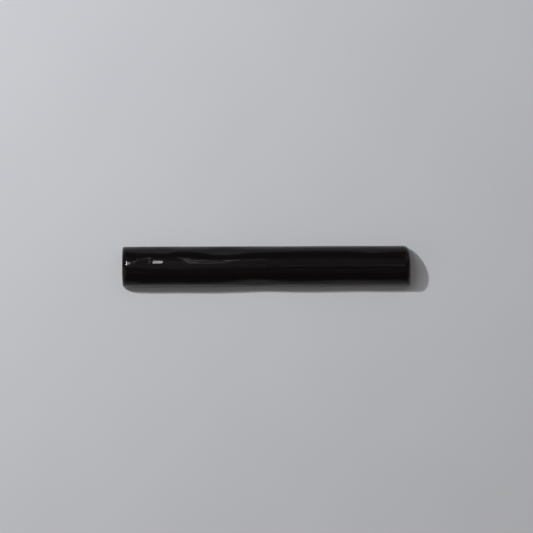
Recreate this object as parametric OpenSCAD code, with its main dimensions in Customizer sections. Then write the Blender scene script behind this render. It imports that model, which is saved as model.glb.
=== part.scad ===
// Half-round glazed trim tile.
// A straight pencil moulding: a half-round dome on low upright sides, softened ends,
// gentle hand-made waves in its face, and a flat bedding back with keying grooves.
// The back lies on Z = 0, the length runs along X, and the dome points up.

/* [Tile] */
// Length of the tile from end to end
tile_l = 200; // [100:5:300]
// Width across the back, which is also the width of the half-round dome
tile_w = 28.5; // [20:0.5:40]
// Height of the upright sides under the dome
side_h = 3; // [2:0.5:8]

/* [Edges] */
// Radius that softens each end where it meets the crown of the dome
crown_r = 4.2; // [1:0.1:6]
// Radius that softens each end where it meets the upright sides
corner_r = 1.2; // [1:0.1:4]
// Radius of the one corner that is rounder than the others
round_corner_r = 5; // [1:0.1:6]
// Radius of the eased edge round the back
back_r = 0.7; // [0.3:0.1:1.2]

/* [Hand finish] */
// Depth of the long waves that run through the face
wave_depth = 0.12; // [0:0.02:0.4]
// Length of one long wave
wave_l = 64; // [40:2:120]
// Depth of a full hand mark in the face
mark_depth = 1; // [0:0.1:1.2]
// How far the face droops at its ends
end_droop = 0.25; // [0:0.05:0.5]
// Length over which the face droops at an end
droop_l = 4.5; // [3:0.5:8]

/* [Keyed back] */
// Number of keying grooves, an even number so that a land runs down the middle
groove_n = 4; // [2:2:4]
// Width of a groove at the back
groove_w = 2.4; // [1:0.1:3]
// Depth of a groove
groove_d = 1; // [0.5:0.1:1.5]
// Width of the land between two grooves
land_w = 3; // [2:0.1:4]
// Length of plain back left at each end of the grooves
groove_stop = 8; // [4:1:20]

/* [Smoothness] */
// Number of steps round the half-round dome
dome_steps = 26; // [16:2:40]
// Length of one step along the straight run
run_step = 4; // [3:0.5:8]
// Number of steps through a softened end
end_steps = 5; // [3:1:8]

/* [Hidden] */

glaze_colour = [0.05, 0.045, 0.045];
dome_r = tile_w / 2;
back_steps = 3;
overcut = 1;
groove_facets = 32;

// Length that is cut into closer steps at each end
end_span = max(crown_r, corner_r, round_corner_r);
// Length over which the waves and marks grow from nothing at each end
calm_l = 4 * crown_r;
// Share of the angle from the crown by which the unevenness fades towards the sides
side_fade = 0.9;

// The two long waves: share of the depth, waves in one wave length,
// lean round the dome, and starting angle
waves = [
    [0.55, 1, 1.5, 40],
    [0.45, 0.62, -2.2, 130]
];

// Hand marks in the face. Each row holds the place along the tile as a share of its length,
// the angle from the crown, the length, the spread round the dome in degrees,
// and the depth as a share of a full mark. A negative depth is a swelling.
hand_marks = [
    [-0.45, 54, 16, 16, 0.45],
    [-0.355, 54, 7, 16, 0.6],
    [-0.143, 53, 14, 19, 1.25],
    [0.365, 54, 7, 15, 0.45],
    [-0.4, -58, 16, 14, -0.3],
    [-0.24, -58, 16, 14, -0.33],
    [-0.03, -57, 13, 14, 0.62],
    [0.3, -58, 24, 14, 0.35],
    [0.48, -58, 10, 14, 0.4],
    [0.16, 20, 34, 16, 0.2],
    [0.42, -16, 12, 18, 0.2],
    [-0.405, 14, 7, 12, 0.28],
    [-0.3, 16, 24, 20, 0.3]
];

// How far a rounded edge of this radius falls back at a depth measured in from the face
function fall_back(radius, depth) =
    depth >= radius ? 0 : radius - sqrt(radius * radius - pow(radius - depth, 2));

// Smooth step from 0 to 1 as a value goes from 0 to its full span
function smooth(value, span) =
    let(share = min(max(value / span, 0), 1)) share * share * (3 - 2 * share);

// Distance from a point on the run to the nearer end
function from_end(x) = tile_l / 2 - abs(x);

// Rounded bump that is 1 at its middle and fades over its width
function bell(distance, width) = exp(-pow(distance / width, 2));

// Sum of a list of numbers
function sum(list) = list * [for (v = list) 1];

// One hand mark's depth at a place on the face
function mark(m, x, angle) =
    m[4] * mark_depth * bell(x - m[0] * tile_l, m[2]) * bell(angle - m[1], m[3]);

// One of the long waves that wander round the dome as they run along it
function long_wave(w, x, angle) =
    w[0] * wave_depth * sin(360 * w[1] * x / wave_l + w[2] * angle + w[3]);

// Height of the face above the true half-round
function unevenness(x, angle) =
    smooth(from_end(x), calm_l)
    * (sum([for (w = waves) long_wave(w, x, angle)]) - sum([for (m = hand_marks) mark(m, x, angle)]))
    - end_droop * bell(from_end(x), droop_l);

// Radius that softens the end at this angle from the crown
function end_radius(x, angle) =
    let(side_r = x > 0 && angle > 0 ? round_corner_r : corner_r)
    side_r + (crown_r - side_r) * cos(angle);

// Distance from the axis of the dome to its face
function face_r(x, angle) =
    dome_r
    - fall_back(end_radius(x, angle), from_end(x))
    + unevenness(x, angle) * sqrt(cos(angle * side_fade));

// Eased back edge on one side of a section, from the upright side down to the back
function back_edge(x, side, half_w) =
    let(lift = fall_back(back_r, from_end(x)))
    [for (i = [0 : back_steps])
        let(a = 90 * i / back_steps)
        [side * (half_w - back_r + back_r * cos(a)), lift + back_r - back_r * sin(a)]];

// Upright sides keep the width that the dome has where it springs from them
function half_width(x, side) = face_r(x, side * 90);

// One closed section across the tile, as points in Y and Z
function section(x) = concat(
    [for (i = [0 : dome_steps])
        let(angle = 90 - 180 * i / dome_steps, r = face_r(x, angle))
        [r * sin(angle), side_h + r * cos(angle)]],
    back_edge(x, -1, half_width(x, -1)),
    [for (i = [back_steps : -1 : 0]) back_edge(x, 1, half_width(x, 1))[i]]
);

// Places of the sections along the tile, closer together through the softened ends
run_l = tile_l - 2 * end_span;
run_n = ceil(run_l / run_step);
end_places = [for (i = [0 : end_steps - 1]) end_span * (1 - cos(90 * i / end_steps))];
places = concat(
    [for (p = end_places) -tile_l / 2 + p],
    [for (i = [0 : run_n]) -run_l / 2 + run_l * i / run_n],
    [for (i = [end_steps - 1 : -1 : 0]) tile_l / 2 - end_places[i]]
);

// Solid made by joining the sections, each a ring of points, from end to end
module loft(rings) {
    ring_n = len(rings[0]);
    last = len(rings) - 1;
    points = [for (ring = rings) each ring];
    walls = [for (s = [0 : last - 1], i = [0 : ring_n - 1])
        let(a = s * ring_n + i, b = s * ring_n + (i + 1) % ring_n)
        each [[a, b, b + ring_n], [a, b + ring_n, a + ring_n]]];
    start_cap = [for (i = [ring_n - 1 : -1 : 0]) i];
    end_cap = [for (i = [0 : ring_n - 1]) last * ring_n + i];
    polyhedron(points, concat(walls, [start_cap], [end_cap]));
}

// The moulded body before its back is keyed
module moulded_body() {
    loft([for (x = places) [for (p = section(x)) [x, p[0], p[1]]]]);
}

// One keying groove with upright walls, round at both ends
module keying_groove() {
    straight = tile_l - 2 * groove_stop - groove_w;
    translate([0, 0, -overcut])
        linear_extrude(groove_d + overcut)
            union() {
                square([straight, groove_w], center = true);
                for (side = [-1, 1])
                    translate([side * straight / 2, 0])
                        circle(d = groove_w, $fn = groove_facets);
            }
}

// All the grooves, side by side with lands between them
module keying_grooves() {
    pitch = groove_w + land_w;
    for (i = [0 : groove_n - 1])
        translate([0, (i - (groove_n - 1) / 2) * pitch, 0])
            keying_groove();
}

module trim_tile() {
    color(glaze_colour)
        difference() {
            moulded_body();
            keying_grooves();
        }
}

trim_tile();
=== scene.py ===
import math

import bmesh
import bpy
import numpy as np
from mathutils import Matrix, Vector, noise
from mathutils.geometry import delaunay_2d_cdt


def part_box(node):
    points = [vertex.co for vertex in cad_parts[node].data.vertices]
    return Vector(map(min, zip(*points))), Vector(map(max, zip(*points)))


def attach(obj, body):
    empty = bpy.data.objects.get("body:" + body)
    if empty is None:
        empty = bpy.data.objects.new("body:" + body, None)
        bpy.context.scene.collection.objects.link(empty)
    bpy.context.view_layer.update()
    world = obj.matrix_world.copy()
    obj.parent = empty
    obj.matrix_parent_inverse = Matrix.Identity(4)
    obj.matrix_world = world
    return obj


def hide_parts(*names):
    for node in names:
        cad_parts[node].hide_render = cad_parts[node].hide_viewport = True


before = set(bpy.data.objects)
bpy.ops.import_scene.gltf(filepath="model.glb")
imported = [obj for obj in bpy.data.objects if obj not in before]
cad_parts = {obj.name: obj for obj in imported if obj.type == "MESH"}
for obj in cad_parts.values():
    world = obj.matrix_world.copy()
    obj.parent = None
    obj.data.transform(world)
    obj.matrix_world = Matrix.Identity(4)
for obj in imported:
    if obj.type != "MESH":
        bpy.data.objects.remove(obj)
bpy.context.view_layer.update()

# The tile's sizes are in millimetres until its mesh is made, and angles are in degrees
MM = 0.001

# Main sizes of the tile, the same as in its solid
tile_low, tile_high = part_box("trim_tile")
TILE_LENGTH = (tile_high.x - tile_low.x) / MM
TILE_WIDTH = 28.5
SIDE_HEIGHT = 3.0
DOME_RADIUS = TILE_WIDTH / 2
# Radii that soften an end at the crown, at the upright sides, and at the one rounder corner
CROWN_SOFTENING = 4.2
CORNER_SOFTENING = 1.2
ROUND_CORNER_SOFTENING = 5.0
# Radius of the eased edge round the back
BACK_EASING = 0.7

# Unevenness of the hand finish, the same as in the solid
WAVE_DEPTH = 0.12
WAVE_LENGTH = 64.0
END_DROOP = 0.25
DROOP_LENGTH = 4.5
MARK_DEPTH = 1.0
# Length over which the unevenness grows from nothing at each end
CALM_LENGTH = 4 * CROWN_SOFTENING
# Share of the angle from the crown by which the unevenness fades towards the sides
SIDE_FADE = 0.9
# Share of the depth, waves in one wave length, lean round the dome, and starting angle
LONG_WAVES = [
    (0.55, 1, 1.5, 40),
    (0.45, 0.62, -2.2, 130),
]
# Place along the tile as a share of its length, angle from the crown, length,
# spread round the dome in degrees, and depth as a share of a full mark
HAND_MARKS = [
    (-0.45, 54, 16, 16, 0.45),
    (-0.355, 54, 7, 16, 0.6),
    (-0.143, 53, 14, 19, 1.25),
    (0.365, 54, 7, 15, 0.45),
    (-0.40, -58, 16, 14, -0.3),
    (-0.24, -58, 16, 14, -0.33),
    (-0.03, -57, 13, 14, 0.62),
    (0.30, -58, 24, 14, 0.35),
    (0.48, -58, 10, 14, 0.4),
    (0.16, 20, 34, 16, 0.2),
    (0.42, -16, 12, 18, 0.2),
    (-0.405, 14, 7, 12, 0.28),
    (-0.30, 16, 24, 20, 0.3),
]

# Keying grooves in the back
GROOVE_COUNT = 4
GROOVE_WIDTH = 2.4
GROOVE_DEPTH = 1.0
LAND_WIDTH = 3.0
GROOVE_STOP = 8.0
# Half the length of a groove's straight run
GROOVE_STRAIGHT = TILE_LENGTH / 2 - GROOVE_STOP - GROOVE_WIDTH / 2
# Radii of a groove's rounded rim and of the fillet round its floor
GROOVE_RIM = 0.22
GROOVE_FILLET = 0.3
# How far a groove's edges wander, and the length of one bend in them
GROOVE_WANDER = 0.07
GROOVE_BEND = 11

# Glaze
GLAZE_THICKNESS = 0.3
LIP_HEIGHT = 0.3
GLAZE_EDGE_HEIGHT = 1.15
# Height above the back over which the bare clay steps in by the glaze's thickness
BARE_RISE = 0.6
# Wander of the glaze's edge: height, length of one bend, and shift of its noise
EDGE_WANDERS = [
    (0.45, 11, 3.7),
    (0.18, 3, 8.1),
]
# Long ripples in the glaze: height, length, spread in degrees, and shift of their noise
GLAZE_RIPPLES = [
    (0.03, 45, 6.5, 1.3),
    (0.011, 24, 2.6, 5.9),
]
# Depth by which the whole glaze lies under the face, so that its ripples stay inside the solid
GLAZE_SINK = 0.04
# Length over which the drags grow from nothing at each end
CALM_GLAZE_LENGTH = 2
# Shallow drags left in the wet glaze: place along the tile, angle from the crown, length,
# spread in degrees, and depth. A negative depth is a swelling.
DRAG_MARKS = [
    (-97, 24, 4, 14, 0.3),
    (-97, 10, 2, 6, 0.09),
    (-77, 11, 9, 4, -0.04),
    (-72, 16, 10, 16, 0.12),
    (-62, -2, 9, 5, 0.05),
    (5, -5, 13, 5, -0.05),
    (38, -4, 22, 4.5, 0.05),
    (62, 12, 14, 5, 0.04),
    (88, 4, 9, 6, 0.05),
]

# Fineness of the mesh
RUN_STEP = 0.8
END_STEPS = 20
DOME_STEPS = 120
WALL_STEPS = 12
ARC_STEPS = 5
CAP_COLUMNS = 24
GROOVE_END_STEPS = 16
GROOVE_EDGE_TURNS = (0, 30, 60, 90)
# Width of the ring of faces between a groove's fillet and the face that fills its floor
GROOVE_FLOOR_RING = 0.1
# Spacing of the points in the flat back, and how far they keep from its grooves and its long edges
BACK_GRID = 1.3
GROOVE_CLEARANCE = 0.3
EDGE_CLEARANCE = 0.5
# Distance within which two places count as one
TOLERANCE = 1e-6
# How the triangulation of the back treats its outlines: it fills the outer one round the others
INSIDE_WITHOUT_HOLES = 2


def fall_back(radius, depth):
    """How far a rounded edge falls back at a depth measured in from the face."""
    inside = np.clip(radius - depth, 0, None)
    return radius - np.sqrt(radius * radius - inside * inside)


def smooth(value, span):
    """Smooth step from 0 to 1 as a value goes from 0 to its full span."""
    share = np.clip(value / span, 0, 1)
    return share * share * (3 - 2 * share)


def bell(distance, width):
    """Rounded bump that is 1 at its middle and fades over its width."""
    return np.exp(-((distance / width) ** 2))


def from_end(x):
    """Distance from a place along the tile to the nearer end."""
    return TILE_LENGTH / 2 - np.abs(x)


def sine(degrees):
    return np.sin(np.radians(degrees))


def cosine(degrees):
    return np.cos(np.radians(degrees))


def unevenness(x, angle):
    """Height of the face above the true half-round, as in the solid."""
    turn = 360 * x / WAVE_LENGTH
    height = WAVE_DEPTH * sum(
        share * sine(number * turn + lean * angle + start)
        for share, number, lean, start in LONG_WAVES
    )
    for place, mark_angle, length, spread, depth in HAND_MARKS:
        dent = bell(x - place * TILE_LENGTH, length) * bell(angle - mark_angle, spread)
        height = height - depth * MARK_DEPTH * dent
    calm = smooth(from_end(x), CALM_LENGTH)
    return calm * height - END_DROOP * bell(from_end(x), DROOP_LENGTH)


def face_radius(x, angle):
    """Distance from the axis of the dome to its face."""
    corner = np.where((x > 0) & (angle > 0), ROUND_CORNER_SOFTENING, CORNER_SOFTENING)
    softening = corner + (CROWN_SOFTENING - corner) * cosine(angle)
    taper = cosine(SIDE_FADE * angle) ** 0.5
    return DOME_RADIUS - fall_back(softening, from_end(x)) + unevenness(x, angle) * taper


def ring_places():
    """Places of the rings along the tile, closer together through the softened ends."""
    span = max(CROWN_SOFTENING, CORNER_SOFTENING, ROUND_CORNER_SOFTENING)
    rise = 1 - cosine(np.linspace(0, 90, END_STEPS + 1))
    end = np.unique(np.append(span * rise, BACK_EASING))
    run_start = TILE_LENGTH / 2 - span
    run = np.linspace(-run_start, run_start, math.ceil(2 * run_start / RUN_STEP) + 1)
    return np.concatenate([-TILE_LENGTH / 2 + end[:-1], run, TILE_LENGTH / 2 - end[:-1][::-1]])


def half_section(x, side):
    """Points of the rings in Y and Z on one side, from the crown down to the back."""
    x = x[:, None]
    angle = side * np.linspace(0, 90, DOME_STEPS + 1)[None, :]
    radius = face_radius(x, angle)
    dome = radius * sine(angle), SIDE_HEIGHT + radius * cosine(angle)
    half_width = face_radius(x, side * 90)
    lift = fall_back(BACK_EASING, from_end(x))
    share = np.linspace(0, 1, WALL_STEPS + 1)[None, 1:]
    wall_z = SIDE_HEIGHT + (lift + BACK_EASING - SIDE_HEIGHT) * share
    wall = side * half_width * np.ones_like(share), wall_z
    turn = np.linspace(0, 90, ARC_STEPS + 1)[None, 1:]
    inset = half_width - BACK_EASING + BACK_EASING * cosine(turn)
    arc = side * inset, lift + BACK_EASING * (1 - sine(turn))
    return tuple(np.concatenate(stretches, axis=1) for stretches in zip(dome, wall, arc))


class MeshParts:
    """Points and faces gathered piece by piece."""

    def __init__(self):
        self.points = []
        self.faces = []

    def add(self, points):
        """Adds points, and gives their numbers in the same arrangement."""
        points = np.asarray(points, float)
        first = len(self.points)
        self.points.extend(points.reshape(-1, 3).tolist())
        return np.arange(first, len(self.points)).reshape(points.shape[:-1])

    def bridge(self, numbers, closed=False):
        """Faces between the rows of a grid of point numbers."""
        if closed:
            numbers = np.concatenate([numbers, numbers[:, :1]], axis=1)
        corners = (numbers[:-1, :-1], numbers[:-1, 1:], numbers[1:, 1:], numbers[1:, :-1])
        for quad in np.stack(corners, axis=-1).reshape(-1, 4).tolist():
            kept = list(dict.fromkeys(quad))
            if len(kept) > 2:
                self.faces.append(kept)


def shell_rings(parts, places):
    """The dome, upright sides and eased back edge. Gives point numbers, ring by ring."""
    right_y, right_z = half_section(places, 1)
    left_y, left_z = half_section(places, -1)
    y = np.concatenate([right_y[:, ::-1], left_y[:, 1:]], axis=1)
    z = np.concatenate([right_z[:, ::-1], left_z[:, 1:]], axis=1)
    x = np.repeat(places[:, None], y.shape[1], axis=1)
    numbers = parts.add(np.stack([x, y, z], axis=-1))
    parts.bridge(numbers)
    return numbers


def spanned(parts, right, left, columns):
    """Rows of points from one side to the other, with new ones between the given two."""
    points = np.array(parts.points)
    share = np.linspace(0, 1, columns + 1)[None, 1:-1, None]
    between = points[right][:, None] * (1 - share) + points[left][:, None] * share
    return np.concatenate([right[:, None], parts.add(between), left[:, None]], axis=1)


def end_cap(parts, ring):
    """Fills an end between the two sides of its ring. Gives its bottom row."""
    middle = len(ring) // 2
    rows = spanned(parts, ring[:middle][::-1], ring[middle + 1:], CAP_COLUMNS)
    crown = np.full((1, rows.shape[1]), ring[middle])
    parts.bridge(np.concatenate([crown, rows]))
    return rows[-1]


def lifted_back(parts, rings, cap_row):
    """Back of the rings in an eased end, from the cap inwards. Gives its innermost row."""
    inner = spanned(parts, rings[1:, 0], rings[1:, -1], CAP_COLUMNS)
    parts.bridge(np.concatenate([cap_row[None], inner]))
    return inner[-1]


def groove_outline(y, outset):
    """Outline of one groove, round at its ends, with edges that wander a little."""
    run = np.linspace(-GROOVE_STRAIGHT, GROOVE_STRAIGHT, math.ceil(GROOVE_STRAIGHT) + 1)
    turn = np.linspace(-90, 90, GROOVE_END_STEPS + 1)[1:-1]
    tip = GROOVE_STRAIGHT + outset * cosine(turn)
    x = np.concatenate([run, tip, run[::-1], -tip])
    side = np.concatenate([-np.ones_like(run), sine(turn), np.ones_like(run), -sine(turn)])
    wander = [GROOVE_WANDER * noise.noise((a / GROOVE_BEND, s, y)) for a, s in zip(x, side)]
    return np.stack([x, y + side * outset + np.array(wander)], axis=-1)


def groove_levels():
    """Outset from a groove's middle line and height above the back, from its rim to its floor."""
    half = GROOVE_WIDTH / 2
    turns = [(sine(turn), cosine(turn)) for turn in GROOVE_EDGE_TURNS]
    rim = [(half + GROOVE_RIM * (1 - s), GROOVE_RIM * (1 - c)) for s, c in turns]
    fillet = [(half - GROOVE_FILLET * (1 - c), GROOVE_DEPTH - GROOVE_FILLET * (1 - s)) for s, c in turns]
    return rim + fillet + [(half - GROOVE_FILLET - GROOVE_FLOOR_RING, GROOVE_DEPTH)]


def groove_middles():
    """Places of the grooves' middle lines across the tile."""
    pitch = GROOVE_WIDTH + LAND_WIDTH
    return [(i - (GROOVE_COUNT - 1) / 2) * pitch for i in range(GROOVE_COUNT)]


def near_groove(x, y):
    """True where a point of the back is in a groove or too near to one."""
    beyond = max(abs(x) - GROOVE_STRAIGHT, 0)
    reach = GROOVE_WIDTH / 2 + GROOVE_RIM + GROOVE_CLEARANCE
    return any(math.hypot(beyond, y - middle) < reach for middle in groove_middles())


def grooves(parts):
    """Walls and floors of all the grooves. Gives the point numbers of their rims."""
    rims = []
    for middle in groove_middles():
        loops = []
        for outset, height in groove_levels():
            outline = groove_outline(middle, outset)
            loops.append(np.concatenate([outline, np.full((len(outline), 1), height)], axis=1))
        numbers = parts.add(np.stack(loops))
        parts.bridge(numbers, closed=True)
        parts.faces.append(numbers[-1].tolist())
        rims.append(numbers[0])
    return rims


def flat_back(parts, border, rims):
    """The level back inside its border, round the rims of the grooves."""
    points = np.array(parts.points)
    loops = [border, *rims]
    known = np.concatenate(loops)
    starts = np.cumsum([0] + [len(loop) for loop in loops])
    outlines = [list(range(a, b)) for a, b in zip(starts[:-1], starts[1:])]
    half_x = points[border][:, 0].max()
    half_y = points[border][:, 1].max()
    grid = [
        (x, y)
        for x in np.arange(-half_x + BACK_GRID / 2, half_x, BACK_GRID)
        for y in np.arange(-half_y + BACK_GRID / 2, half_y - EDGE_CLEARANCE, BACK_GRID)
        if not near_groove(x, y)
    ]
    flat = [Vector(p[:2]) for p in points[known]] + [Vector(p) for p in grid]
    filled = delaunay_2d_cdt(flat, [], outlines, INSIDE_WITHOUT_HOLES, TOLERANCE)
    placed, _, triangles, origins, _, _ = filled
    numbers = []
    for spot, origin in zip(placed, origins):
        if origin and origin[0] < len(known):
            numbers.append(int(known[origin[0]]))
        else:
            numbers.append(int(parts.add([spot.x, spot.y, 0.0])))
    parts.faces.extend([numbers[i] for i in triangle] for triangle in triangles)


def tile_mesh():
    """One closed mesh of the whole tile, in metres."""
    parts = MeshParts()
    places = ring_places()
    rings = shell_rings(parts, places)
    first_half = from_end(places[: len(places) // 2])
    eased = int(np.searchsorted(first_half, BACK_EASING - TOLERANCE)) + 1
    start = lifted_back(parts, rings[:eased], end_cap(parts, rings[0]))
    finish = lifted_back(parts, rings[::-1][:eased], end_cap(parts, rings[-1]))
    flat = rings[eased - 1: len(places) - eased + 1]
    border = np.concatenate([start[:-1], flat[:-1, -1], finish[::-1][:-1], flat[::-1][:-1, 0]])
    flat_back(parts, border, grooves(parts))
    mesh = bpy.data.meshes.new("trim_tile_glazed")
    mesh.from_pydata((np.array(parts.points) * MM).tolist(), [], parts.faces)
    face_outwards(mesh)
    return mesh


def face_outwards(mesh):
    """Turns every face of a closed mesh to face out of it."""
    gathered = bmesh.new()
    gathered.from_mesh(mesh)
    bmesh.ops.recalc_face_normals(gathered, faces=gathered.faces)
    gathered.to_mesh(mesh)
    gathered.free()


def face_angle(points):
    """Angle from the crown of each point on the face."""
    return np.degrees(np.arctan2(points[:, 1], points[:, 2] - SIDE_HEIGHT))


def wander_noise(points, lengths, shift):
    """Smooth noise between -1 and 1, with its own length along each axis."""
    spots = points / np.array(lengths) + shift
    return np.array([noise.noise(spot) for spot in spots])


def glaze_edge(points):
    """Height above the back at which the glaze ends, all the way round."""
    level = points * (1, 1, 0)
    edge = GLAZE_EDGE_HEIGHT
    for height, length, shift in EDGE_WANDERS:
        edge = edge + height * wander_noise(level, (length, length, 1), shift)
    return edge


def glaze_relief(points):
    """Fine height of the glaze, from its long ripples and its drags."""
    angle = face_angle(points)
    unrolled = np.stack([points[:, 0], angle, 0 * angle], axis=-1)
    ripples = sum(
        height * wander_noise(unrolled, (length, spread, 1), shift)
        for height, length, spread, shift in GLAZE_RIPPLES
    )
    drags = 0
    for place, mark_angle, length, spread, depth in DRAG_MARKS:
        along = bell(points[:, 0] - place, length)
        drags = drags - depth * along * bell(angle - mark_angle, spread)
    return ripples + smooth(from_end(points[:, 0]), CALM_GLAZE_LENGTH) * drags - GLAZE_SINK


def point_vectors(mesh, name):
    """One vector of each point of a mesh, as rows of three."""
    values = np.empty(len(mesh.vertices) * 3, np.float32)
    mesh.vertices.foreach_get(name, values)
    return values.reshape(-1, 3).astype(float)


# Z of a normal below which its point is on the back
FACING_DOWN = -0.9
# Greatest distance from the glaze's edge that is kept on a point
EDGE_REACH = 5


def back_points(points, normals):
    """True for each point of the flat back and of its grooves."""
    groove_field = groove_middles()[-1] + GROOVE_WIDTH / 2 + GROOVE_RIM
    under = (points[:, 2] < SIDE_HEIGHT) & (np.abs(points[:, 1]) < groove_field)
    in_groove = under & (from_end(points[:, 0]) > GROOVE_STOP / 2)
    return (normals[:, 2] < FACING_DOWN) | in_groove


def dress_surface(mesh):
    """Moves the glaze and the bare clay to their levels.

    Each point keeps how far it is above the glaze's edge, for the material.
    """
    points = point_vectors(mesh, "co") / MM
    normals = point_vectors(mesh, "normal")
    above = points[:, 2] - glaze_edge(points)
    glazed = smooth(above + LIP_HEIGHT / 2, LIP_HEIGHT)
    bare = np.clip(1 - glazed, 0, 1) * smooth(points[:, 2], BARE_RISE)
    move = glazed * glaze_relief(points) - bare * GLAZE_THICKNESS
    on_back = back_points(points, normals)
    move[on_back] = 0
    above[on_back] = -EDGE_REACH
    points = points + normals * move[:, None]
    mesh.vertices.foreach_set("co", (points * MM).astype(np.float32).ravel())
    layer = mesh.attributes.new("above_edge", "FLOAT", "POINT")
    layer.data.foreach_set("value", np.clip(above, -EDGE_REACH, EDGE_REACH).astype(np.float32))


class Nodes:
    """A material's nodes, with short calls for the kinds that are used here."""

    def __init__(self, name):
        self.material = bpy.data.materials.new(name)
        self.material.use_nodes = True
        self.tree = self.material.node_tree
        coordinates = self.tree.nodes.new("ShaderNodeTexCoord")
        self.place = self.maths_vector("MULTIPLY", coordinates.outputs["Object"], (1 / MM,) * 3)

    def put(self, socket, value):
        """Links a socket to an output, or sets it to a value."""
        if isinstance(value, bpy.types.NodeSocket):
            self.tree.links.new(value, socket)
        elif value is not None:
            socket.default_value = value

    def dress(self, values):
        """Gives the surface's sockets their outputs or values."""
        for name, value in values.items():
            self.put(self.tree.nodes["Principled BSDF"].inputs[name], value)

    def maths(self, operation, a, b=None, c=None):
        n = self.tree.nodes.new("ShaderNodeMath")
        n.operation = operation
        for socket, value in zip(n.inputs, (a, b, c)):
            self.put(socket, value)
        return n.outputs[0]

    def maths_vector(self, operation, a, b):
        n = self.tree.nodes.new("ShaderNodeVectorMath")
        n.operation = operation
        self.put(n.inputs[0], a)
        self.put(n.inputs[1], b)
        return n.outputs[0]

    def spot(self, lengths, shift):
        """Place on the object, counted in the given length along each axis."""
        counted = self.maths_vector("MULTIPLY", self.place, tuple(1 / length for length in lengths))
        return self.maths_vector("ADD", counted, (shift,) * 3)

    def noise(self, lengths, detail, roughness=0.5, shift=0.0):
        """Noise from 0 to 1 whose features are as long along each axis as given, in millimetres."""
        n = self.tree.nodes.new("ShaderNodeTexNoise")
        self.put(n.inputs["Vector"], self.spot(lengths, shift))
        self.put(n.inputs["Scale"], 1.0)
        self.put(n.inputs["Detail"], detail)
        self.put(n.inputs["Roughness"], roughness)
        return n.outputs["Fac"]

    def cells(self, size, shift):
        """Distance to the nearest of many scattered spots, in shares of their spacing."""
        n = self.tree.nodes.new("ShaderNodeTexVoronoi")
        self.put(n.inputs["Vector"], self.spot((size,) * 3, shift))
        self.put(n.inputs["Scale"], 1.0)
        return n.outputs["Distance"]

    def ranged(self, value, low, high, to_low=0.0, to_high=1.0):
        """Value taken smoothly from one range to another, and held at the ends."""
        n = self.tree.nodes.new("ShaderNodeMapRange")
        n.interpolation_type = "SMOOTHSTEP"
        for socket, given in zip(n.inputs, (value, low, high, to_low, to_high)):
            self.put(socket, given)
        return n.outputs[0]

    def blend(self, share, a, b):
        """Colour that goes from a to b."""
        n = self.tree.nodes.new("ShaderNodeMix")
        n.data_type = "RGBA"
        # The colours' sockets come after those for numbers and vectors
        for number, value in ((0, share), (6, a), (7, b)):
            self.put(n.inputs[number], value)
        return n.outputs[2]

    def attribute(self, name):
        n = self.tree.nodes.new("ShaderNodeAttribute")
        n.attribute_name = name
        return n.outputs["Fac"]

    def bump(self, height, distance, normal=None):
        """Normal bent by a height, whose full range is a distance in millimetres."""
        n = self.tree.nodes.new("ShaderNodeBump")
        self.put(n.inputs["Strength"], 1.0)
        self.put(n.inputs["Distance"], distance * MM)
        self.put(n.inputs["Height"], height)
        self.put(n.inputs["Normal"], normal)
        return n.outputs[0]


# Colours of the tile
BLACK = (0.0020, 0.0013, 0.0019, 1)
MOTTLED_BLACK = (0.0034, 0.0018, 0.0020, 1)
BROWN_BLACK = (0.0060, 0.0034, 0.0024, 1)
CLAY = (0.46, 0.33, 0.235, 1)
PALE_CLAY = (0.56, 0.43, 0.32, 1)
DARK_CLAY = (0.30, 0.20, 0.14, 1)
CLAY_SPECK = (0.10, 0.06, 0.04, 1)

# Finish of the tile, whose gloss is a clear coat over a duller body
BODY_SPECULAR = 0.05
GLAZED_BODY_ROUGHNESS = 0.26
WIPED_BODY_ROUGHNESS = 0.16
CLAY_ROUGHNESS = 0.85
COAT_ROUGHNESS = 0.02
COAT_IOR = 1.2
# Depths of the glaze's orange peel and pits, and of the bare clay's grain
PEEL_DEPTH = 0.004
PIT_DEPTH = 0.08
GRAIN_DEPTH = 0.12
# Distances above the glaze's edge between which clay turns to glaze, and over which brown turns to black
GLAZE_EDGE_BLUR = (-0.05, 0.07)
BROWN_EDGE_WIDTH = 0.7


def clay_colour(nodes):
    """Fired clay, cloudy and grainy, with dark specks."""
    clouds = nodes.ranged(nodes.noise((14, 9, 9), detail=3), 0.35, 0.65)
    grains = nodes.ranged(nodes.noise((0.5, 0.5, 0.5), detail=2), 0.56, 0.72, to_high=0.5)
    specks = nodes.ranged(nodes.cells(1.7, shift=4.0), 0.08, 0.14, to_low=0.75, to_high=0)
    grainy = nodes.blend(grains, nodes.blend(clouds, CLAY, PALE_CLAY), DARK_CLAY)
    return nodes.blend(specks, grainy, CLAY_SPECK)


def glaze_colour(nodes, above):
    """Black glaze with a faint mottle, which thins to brown at its edge."""
    mottle = nodes.ranged(nodes.noise((9, 6, 6), detail=2), 0.4, 0.75)
    thick = nodes.ranged(above, 0.0, BROWN_EDGE_WIDTH)
    return nodes.blend(thick, BROWN_BLACK, nodes.blend(mottle, BLACK, MOTTLED_BLACK))


def body_roughness(nodes, bare):
    """Roughness under the coat, in faint streaks that run with the tile, and of the bare clay."""
    streaks = nodes.noise((34, 0.9, 0.9), detail=3, roughness=0.6, shift=2.0)
    wiped = nodes.ranged(streaks, 0.5, 0.8)
    haze = nodes.maths("MULTIPLY_ADD", wiped, WIPED_BODY_ROUGHNESS, GLAZED_BODY_ROUGHNESS)
    rise = nodes.maths("SUBTRACT", CLAY_ROUGHNESS, haze)
    return nodes.maths("MULTIPLY_ADD", rise, bare, haze)


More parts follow.
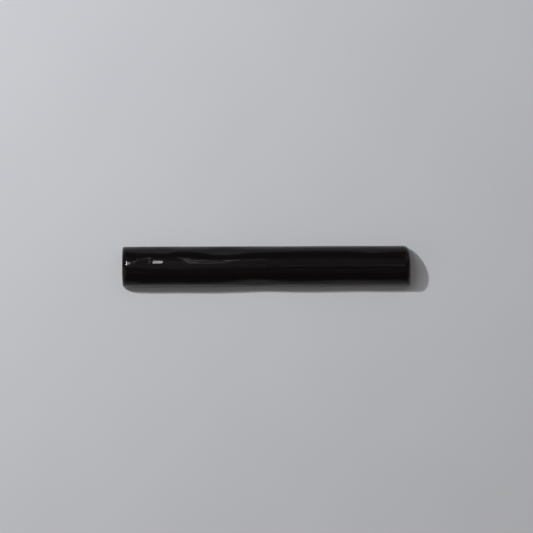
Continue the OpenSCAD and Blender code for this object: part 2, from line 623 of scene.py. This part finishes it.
def glaze_normal(nodes):
    """Orange peel and a few pits in the glaze."""
    peel = nodes.noise((2.6, 1.7, 1.7), detail=1)
    pits = nodes.ranged(nodes.cells(7.5, shift=1.0), 0.02, 0.05, to_low=-1, to_high=0)
    return nodes.bump(pits, PIT_DEPTH, nodes.bump(peel, PEEL_DEPTH))


def glazed_clay():
    """Black gloss glaze down to its edge, and the fired clay below it."""
    nodes = Nodes("black_glaze")
    above = nodes.attribute("above_edge")
    glazed = nodes.ranged(above, *GLAZE_EDGE_BLUR)
    bare = nodes.maths("SUBTRACT", 1.0, glazed)
    normal = glaze_normal(nodes)
    gritty = nodes.noise((0.35, 0.35, 0.35), detail=3, roughness=0.6)
    grain = nodes.maths("MULTIPLY", gritty, bare)
    nodes.dress({
        "Base Color": nodes.blend(glazed, clay_colour(nodes), glaze_colour(nodes, above)),
        "Roughness": body_roughness(nodes, bare),
        "Specular IOR Level": BODY_SPECULAR,
        "Coat Weight": glazed,
        "Coat Roughness": COAT_ROUGHNESS,
        "Coat IOR": COAT_IOR,
        "Normal": nodes.bump(grain, GRAIN_DEPTH, normal),
        "Coat Normal": normal,
    })
    return nodes.material


def trim_tile():
    """The glazed tile, one closed piece."""
    mesh = tile_mesh()
    mesh.validate()
    tile = bpy.data.objects.new("glazed_half_round", mesh)
    bpy.context.scene.collection.objects.link(tile)
    mesh.shade_smooth()
    dress_surface(mesh)
    mesh.materials.append(glazed_clay())
    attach(tile, "root")
    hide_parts("trim_tile")


# The floor's half width is in metres, and its drop under the tile in millimetres
FLOOR_HALF_WIDTH = 15.0
FLOOR_DROP = 0.02
FLOOR_COLOUR = (0.462, 0.472, 0.505, 1)
PALE_FLOOR_COLOUR = (0.470, 0.480, 0.511, 1)
FLOOR_ROUGHNESS = 0.9
FLOOR_SPECULAR = 0.1


def floor_plaster():
    """Matt plaster, very faintly cloudy."""
    nodes = Nodes("floor_plaster")
    clouds = nodes.ranged(nodes.noise((90, 90, 90), detail=2), 0.3, 0.7)
    nodes.dress({
        "Base Color": nodes.blend(clouds, FLOOR_COLOUR, PALE_FLOOR_COLOUR),
        "Roughness": FLOOR_ROUGHNESS,
        "Specular IOR Level": FLOOR_SPECULAR,
    })
    return nodes.material


def floor():
    """Wide plain floor just under the tile."""
    mesh = bpy.data.meshes.new("floor")
    corners = [
        (x * FLOOR_HALF_WIDTH, y * FLOOR_HALF_WIDTH, -FLOOR_DROP * MM)
        for x, y in ((-1, -1), (1, -1), (1, 1), (-1, 1))
    ]
    mesh.from_pydata(corners, [], [(0, 1, 2, 3)])
    mesh.materials.append(floor_plaster())
    plane = bpy.data.objects.new("floor", mesh)
    bpy.context.scene.collection.objects.link(plane)


# Colours of the lamps and of the light all round
WHITE = (1, 1, 1)
DAYLIGHT = (0.985, 0.995, 1.0)
IVORY = (1.0, 0.98, 0.97)
PALE_IVORY = (1.0, 0.985, 0.97)
WARM = (1.0, 0.92, 0.86)
AMBIENT = (0.145, 0.133, 0.118, 1)

# A lamp's strength is either its own brightness as seen or the light that it gives the floor
# under the tile. For both, 1 is white.
AS_SEEN = "as seen"
ON_FLOOR = "on the floor"

# Name, place, width and height in metres, strength, what the strength measures, and colour.
# The key, side and corner lamps light the floor, and the others are there to show in the glaze.
LAMPS = [
    ("key_lamp", (-0.86, 0.615, 1.06), (0.07, 0.07), 0.55, ON_FLOOR, DAYLIGHT),
    ("strip_lamp", (-0.21, 1.06, 1.91), (0.05, 0.18), 36.0, AS_SEEN, WHITE),
    ("flank_lamp", (-0.90, 0.86, 1.80), (1.0, 0.2), 16.0, AS_SEEN, WHITE),
    ("tail_lamp", (-0.107, 0.98, 1.97), (0.038, 0.08), 8.0, AS_SEEN, WHITE),
    ("upper_tail_lamp", (-0.107, 1.35, 1.73), (0.038, 0.16), 4.5, AS_SEEN, WHITE),
    ("fill_lamp", (-0.107, 1.3, 1.77), (0.038, 0.64), 0.6, AS_SEEN, WHITE),
    ("streak_lamp", (-0.035, 1.36, 1.73), (0.09, 0.34), 0.8, AS_SEEN, WHITE),
    ("upper_streak_lamp", (-0.117, 1.56, 1.547), (0.03, 0.14), 1.8, AS_SEEN, WHITE),
    ("line_lamp", (0.45, 0.20, 2.14), (0.8, 0.36), 0.45, AS_SEEN, IVORY),
    ("low_line_lamp", (0.40, -0.64, 2.06), (0.8, 0.3), 0.14, AS_SEEN, IVORY),
    ("left_side_lamp", (-1.9, -0.7, 0.8), (1.9, 1.5), 0.035, ON_FLOOR, WARM),
    ("right_side_lamp", (1.9, -0.7, 0.8), (1.9, 1.5), 0.01, ON_FLOOR, WARM),
    ("ceiling_lamp", (0.0, 0.476, 2.148), (2.4, 1.02), 0.16, AS_SEEN, IVORY),
    ("upper_ceiling_lamp", (0.25, 1.268, 1.78), (0.5, 0.744), 0.16, AS_SEEN, IVORY),
    ("left_ceiling_lamp", (-0.45, 0.165, 2.15), (0.9, 0.97), 0.24, AS_SEEN, IVORY),
    ("low_ceiling_lamp", (0.0, -0.95, 1.98), (2.4, 0.9), 0.08, AS_SEEN, IVORY),
    ("corner_lamp", (0.95, 0.95, 0.75), (1.3, 1.3), 0.045, ON_FLOOR, PALE_IVORY),
]


def brightness_for(share, place, size):
    """Brightness at which a lamp gives the floor under the tile this share of white."""
    wide, high = size
    spread = wide * high / place.length_squared
    return share * math.pi / (spread * place.normalized().z)


def lamp(name, place, size, strength, measure, colour):
    """Soft lamp that faces the tile."""
    place = Vector(place)
    wide, high = size
    brightness = brightness_for(strength, place, size) if measure == ON_FLOOR else strength
    data = bpy.data.lights.new(name, "AREA")
    data.shape = "RECTANGLE"
    data.size = wide
    data.size_y = high
    data.energy = brightness * math.pi * wide * high
    data.color = colour
    thing = bpy.data.objects.new(name, data)
    thing.location = place
    thing.rotation_mode = "QUATERNION"
    away = place.normalized()
    across = (Vector((1, 0, 0)) - away * away.x).normalized()
    thing.rotation_quaternion = Matrix((across, away.cross(across), away)).transposed().to_quaternion()
    bpy.context.scene.collection.objects.link(thing)


def lights():
    """All the lamps, and the faint light all round."""
    for row in LAMPS:
        lamp(*row)
    world = bpy.data.worlds.new("studio")
    world.use_nodes = True
    world.node_tree.nodes["Background"].inputs["Color"].default_value = AMBIENT
    bpy.context.scene.world = world


# Side of the photograph in pixels, and length in millimetres of one pixel at the back of the tile
PHOTO_SIDE = 533
PHOTO_SCALE = 0.6965
# Pixel of the photograph on which the middle of the tile lies, and how far the tile is turned
TILE_PIXEL = (266.3, 266.5)
TILE_TURN = 0.21
# The camera's height and the nearest and farthest that it sees are in metres
CAMERA_HEIGHT = 2.2
NEAREST_SEEN = 0.1
FARTHEST_SEEN = 60
SENSOR_WIDTH = 36


def camera():
    """Camera straight above the tile, framed as the photograph is."""
    data = bpy.data.cameras.new("camera")
    data.sensor_width = SENSOR_WIDTH
    data.lens = SENSOR_WIDTH * CAMERA_HEIGHT / (PHOTO_SIDE * PHOTO_SCALE * MM)
    data.clip_start = NEAREST_SEEN
    data.clip_end = FARTHEST_SEEN
    thing = bpy.data.objects.new("camera", data)
    across = (PHOTO_SIDE / 2 - TILE_PIXEL[0]) * PHOTO_SCALE * MM
    up = (TILE_PIXEL[1] - PHOTO_SIDE / 2) * PHOTO_SCALE * MM
    thing.location = (across, up, CAMERA_HEIGHT)
    thing.rotation_euler = (0, 0, -math.radians(TILE_TURN))
    bpy.context.scene.collection.objects.link(thing)
    bpy.context.scene.camera = thing


camera()
trim_tile()
floor()
lights()
bpy.context.scene.view_settings.view_transform = "Standard"
